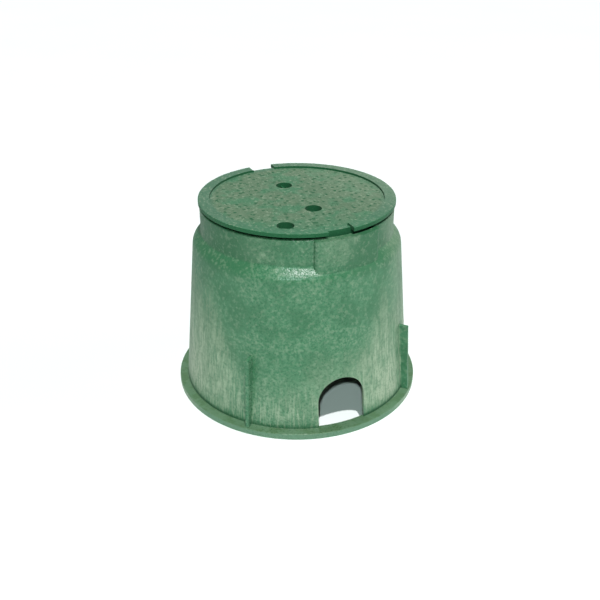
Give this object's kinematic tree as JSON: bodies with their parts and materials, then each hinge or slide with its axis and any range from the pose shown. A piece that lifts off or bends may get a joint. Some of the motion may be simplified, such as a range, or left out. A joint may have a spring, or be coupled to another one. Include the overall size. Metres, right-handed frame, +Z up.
{
  "type": "irrigation valve box",
  "caption": "Round moulded irrigation valve box: tapered open-bottomed body with base flange, outside ribs, arched pipe slots and a necked collar, closed by a twist-lock lid with lifting holes.",
  "frame": {"origin": "centre of the base, on the ground plane that the flange's lip stands on", "axes": "+Z up along the box's axis, towards the lid; -Y towards the front pipe slot; +X to the right seen from the front"},
  "size_m": [0.33, 0.33, 0.2637],
  "materials": {
    "body_plastic": "matte moulded polyolefin, mid green",
    "lid_plastic": "matte moulded polyolefin, dusty green"
  },
  "bodies": {
    "box": {"box_body": "body_plastic"},
    "lid": {"lid": "lid_plastic"}
  },
  "joints": [
    {"name": "lid_turn", "type": "hinge", "parent": "box", "child": "lid", "pos_m": [0, 0, 0.25], "axis": [0, 0, 1], "range_deg": [0, 14.5]}
  ]
}
